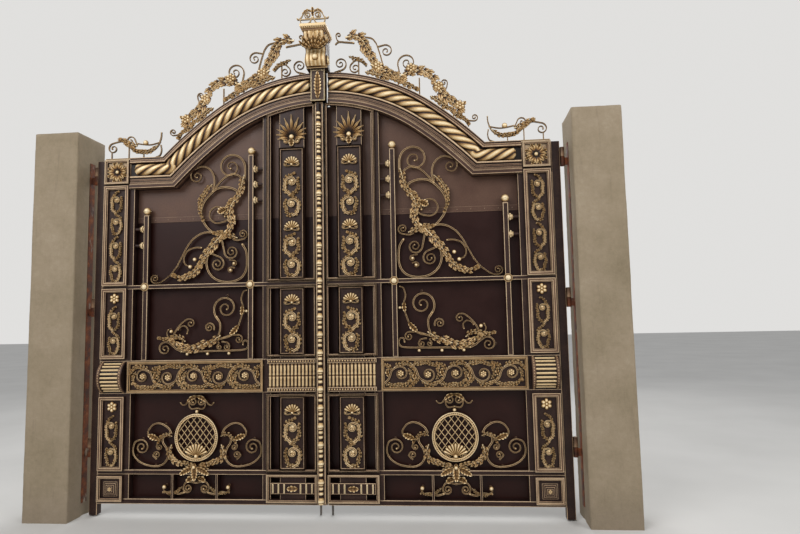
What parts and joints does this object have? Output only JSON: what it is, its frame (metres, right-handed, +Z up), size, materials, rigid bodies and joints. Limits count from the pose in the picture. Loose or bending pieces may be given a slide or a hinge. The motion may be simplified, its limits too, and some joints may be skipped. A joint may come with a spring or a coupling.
{
  "type": "driveway gate",
  "caption": "Arched driveway gate in dark brown wrought iron with antique gold scrollwork, rope moulding and a central crown, hung between rendered pillars",
  "frame": {"origin": "centre of the left pillar's foot, on the ground plane", "axes": "+X from the left pillar to the right one, +Y from the street face through the gate to the rear, +Z up"},
  "size_m": [4.358, 0.428, 3.706],
  "materials": {
    "render": "rough sand and cement render",
    "rusty_steel": "dull dark steel with rust stains",
    "bolt_steel": "dull dark steel",
    "brown_paint": "satin dark brown with brushed bronze edges",
    "antique_gold": "satin antique gold patina over dark brown"
  },
  "bodies": {
    "posts": {"left_pillar": "render", "right_pillar": "render", "left_hinge_strip": "rusty_steel", "right_hinge_strip": "rusty_steel"},
    "left_leaf": {"left_heel_tube": "brown_paint", "left_leaf_body": "brown_paint", "left_outer_column": "brown_paint", "left_outer_ornament": "antique_gold", "left_drum": "antique_gold", "left_rope": "antique_gold", "left_arch_moulding": "brown_paint", "left_inner_column": "brown_paint", "left_inner_ornament": "antique_gold", "left_grille": "antique_gold", "left_band": "antique_gold", "left_bars": "brown_paint", "left_upper_scroll": "antique_gold", "left_middle_scroll": "antique_gold", "left_medallion": "antique_gold", "left_arch_crest": "antique_gold", "left_side_crest": "antique_gold", "astragal": "antique_gold", "crown_console": "antique_gold", "crown_crest": "antique_gold"},
    "right_leaf": {"right_heel_tube": "brown_paint", "right_leaf_body": "brown_paint", "right_outer_column": "brown_paint", "right_outer_ornament": "antique_gold", "right_drum": "antique_gold", "right_rope": "antique_gold", "right_arch_moulding": "brown_paint", "right_inner_column": "brown_paint", "right_inner_ornament": "antique_gold", "right_grille": "antique_gold", "right_band": "antique_gold", "right_bars": "brown_paint", "right_upper_scroll": "antique_gold", "right_middle_scroll": "antique_gold", "right_medallion": "antique_gold", "right_arch_crest": "antique_gold", "right_side_crest": "antique_gold"},
    "left_bolt": {"left_drop_bolt": "bolt_steel"},
    "right_bolt": {"right_drop_bolt": "bolt_steel"}
  },
  "joints": [
    {"name": "left_leaf_hinge", "type": "hinge", "parent": "posts", "child": "left_leaf", "pos_m": [0.211, 0.017, 1.545], "axis": [0, 0, 1], "range_deg": [0, 90]},
    {"name": "right_leaf_hinge", "type": "hinge", "parent": "posts", "child": "right_leaf", "pos_m": [3.797, 0.017, 1.545], "axis": [0, 0, -1], "range_deg": [0, 90]},
    {"name": "left_bolt_slide", "type": "slide", "parent": "left_leaf", "child": "left_bolt", "axis": [0, 0, 1], "range_m": [0, 0.12]},
    {"name": "right_bolt_slide", "type": "slide", "parent": "right_leaf", "child": "right_bolt", "axis": [0, 0, 1], "range_m": [0, 0.12]}
  ]
}
